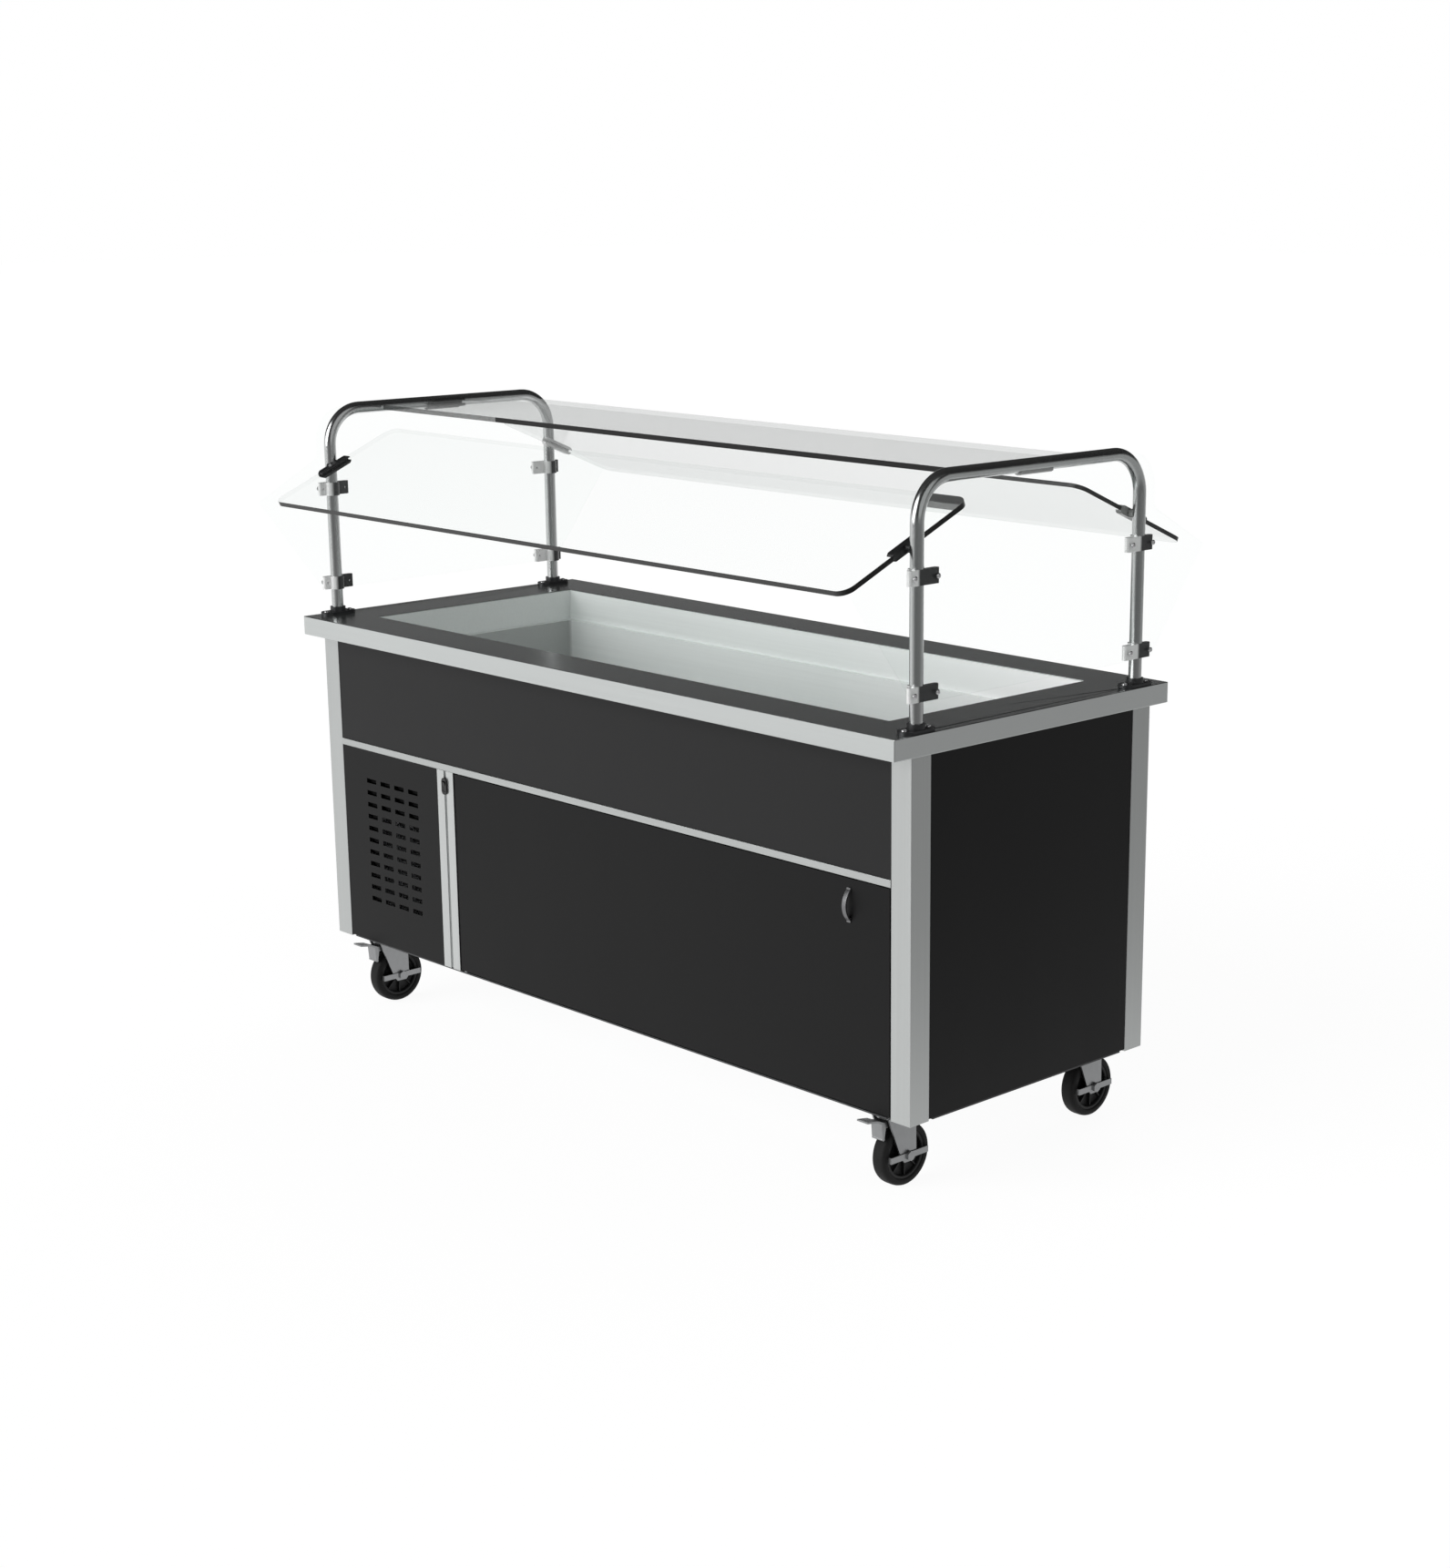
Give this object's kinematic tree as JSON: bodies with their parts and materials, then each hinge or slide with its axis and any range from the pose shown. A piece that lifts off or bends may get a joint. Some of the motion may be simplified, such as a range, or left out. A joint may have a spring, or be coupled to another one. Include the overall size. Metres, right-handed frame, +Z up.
{
  "type": "mobile salad bar",
  "caption": "Refrigerated salad bar on swivel casters: a stainless cold well in a black panelled cabinet with a hinged door, under clear breath guards held by tube arches.",
  "frame": {"origin": "on the floor, under the middle of the counter", "axes": "+X along the length, to the right seen from the door side; +Y from the door side to the back; +Z up"},
  "size_m": [1.824, 0.956, 1.3493],
  "materials": {
    "stainless": "brushed satin sheet",
    "galvanised": "plain galvanised sheet",
    "foam": "rigid foam",
    "copper": "drawn tube, dull",
    "brass": "cast, dull",
    "red_lever": "dipped vinyl coat",
    "frame_paint": "matt powder coat",
    "black_laminate": "fine-grained satin laminate",
    "black_paint": "satin powder coat",
    "black_plastic": "moulded, fine texture",
    "zinc": "bright zinc plate",
    "satin_pull": "satin nickel plate",
    "fins": "thin fins, dull",
    "motor_paint": "grey paint",
    "tube_steel": "satin round tube",
    "cast_fittings": "satin cast metal",
    "screw_steel": "bright plated",
    "clear_sheet": "clear acrylic with polished edges",
    "tyre": "smooth bonded rubber tread on a moulded core"
  },
  "bodies": {
    "cart": {"countertop": "stainless", "well_tank": "stainless", "well_insulation": "foam", "well_casing": "galvanised", "evaporator_coil": "copper", "drain_strainer": "stainless", "drain_pipe": "stainless", "drain_valve": "brass", "base_frame": "frame_paint", "header_rails": "galvanised", "cabinet_floor": "galvanised", "bulkhead": "galvanised", "corner_posts": "stainless", "apron_front": "black_laminate", "rear_panel": "black_laminate", "end_panel_left": "black_laminate", "end_panel_right": "black_laminate", "trim_strip": "stainless", "mullion": "stainless", "louvre_panel": "black_paint", "switch_housing": "black_plastic", "door_pivots": "zinc", "door_catch": "black_plastic", "cord_gland": "black_plastic", "unit_base": "galvanised", "compressor": "black_paint", "condenser": "fins", "fan_shroud": "frame_paint", "fan_motor": "motor_paint", "refrigerant_lines": "copper", "control_box": "black_plastic", "arch_left": "tube_steel", "arch_right": "tube_steel", "arch_feet": "cast_fittings", "top_panel": "clear_sheet", "front_guard": "clear_sheet", "rear_guard": "clear_sheet", "end_guard_left": "clear_sheet", "end_guard_right": "clear_sheet", "guard_brackets": "cast_fittings", "end_clamps": "cast_fittings", "top_clamps": "cast_fittings", "screws": "screw_steel", "caster_plates": "zinc"},
    "door": {"door_panel": "black_laminate", "door_handle": "satin_pull", "catch_plate": "zinc"},
    "switch": {"switch_rocker": "black_plastic"},
    "fan": {"fan_blade": "black_plastic"},
    "valve": {"valve_lever": "red_lever"},
    "fork_front_left": {"fork_front_left": "zinc"},
    "wheel_front_left": {"wheel_front_left": "tyre"},
    "pedal_front_left": {"pedal_front_left": "zinc"},
    "fork_front_right": {"fork_front_right": "zinc"},
    "wheel_front_right": {"wheel_front_right": "tyre"},
    "pedal_front_right": {"pedal_front_right": "zinc"},
    "fork_rear_left": {"fork_rear_left": "zinc"},
    "wheel_rear_left": {"wheel_rear_left": "tyre"},
    "fork_rear_right": {"fork_rear_right": "zinc"},
    "wheel_rear_right": {"wheel_rear_right": "tyre"}
  },
  "joints": [
    {"name": "door_hinge", "type": "hinge", "parent": "cart", "child": "door", "pos_m": [-0.436, -0.322, 0.38], "axis": [0, 0, -1], "range_deg": [0, 110]},
    {"name": "switch_rock", "type": "hinge", "parent": "cart", "child": "switch", "pos_m": [-0.47825, -0.3306, 0.568], "axis": [-1, 0, 0], "range_deg": [0, 18]},
    {"name": "fan_spin", "type": "hinge", "parent": "cart", "child": "fan", "pos_m": [-0.7, -0.234, 0.319], "axis": [0, 1, 0], "continuous": true},
    {"name": "valve_turn", "type": "hinge", "parent": "cart", "child": "valve", "pos_m": [0.62, -0.034, 0.532], "axis": [0, 1, 0], "range_deg": [0, 90]},
    {"name": "swivel_front_left", "type": "hinge", "parent": "cart", "child": "fork_front_left", "pos_m": [-0.806, -0.268, 0.14], "axis": [0, 0, 1], "continuous": true},
    {"name": "roll_front_left", "type": "hinge", "parent": "fork_front_left", "child": "wheel_front_left", "pos_m": [-0.806, -0.251, 0.0625], "axis": [1, 0, 0], "continuous": true},
    {"name": "brake_front_left", "type": "hinge", "parent": "fork_front_left", "child": "pedal_front_left", "pos_m": [-0.806, -0.29, 0.132], "axis": [1, 0, 0], "range_deg": [0, 12]},
    {"name": "swivel_front_right", "type": "hinge", "parent": "cart", "child": "fork_front_right", "pos_m": [0.806, -0.268, 0.14], "axis": [0, 0, 1], "continuous": true},
    {"name": "roll_front_right", "type": "hinge", "parent": "fork_front_right", "child": "wheel_front_right", "pos_m": [0.806, -0.251, 0.0625], "axis": [1, 0, 0], "continuous": true},
    {"name": "brake_front_right", "type": "hinge", "parent": "fork_front_right", "child": "pedal_front_right", "pos_m": [0.806, -0.29, 0.132], "axis": [1, 0, 0], "range_deg": [0, 12]},
    {"name": "swivel_rear_left", "type": "hinge", "parent": "cart", "child": "fork_rear_left", "pos_m": [-0.806, 0.268, 0.14], "axis": [0, 0, 1], "continuous": true},
    {"name": "roll_rear_left", "type": "hinge", "parent": "fork_rear_left", "child": "wheel_rear_left", "pos_m": [-0.806, 0.285, 0.0625], "axis": [1, 0, 0], "continuous": true},
    {"name": "swivel_rear_right", "type": "hinge", "parent": "cart", "child": "fork_rear_right", "pos_m": [0.806, 0.268, 0.14], "axis": [0, 0, 1], "continuous": true},
    {"name": "roll_rear_right", "type": "hinge", "parent": "fork_rear_right", "child": "wheel_rear_right", "pos_m": [0.806, 0.285, 0.0625], "axis": [1, 0, 0], "continuous": true}
  ]
}
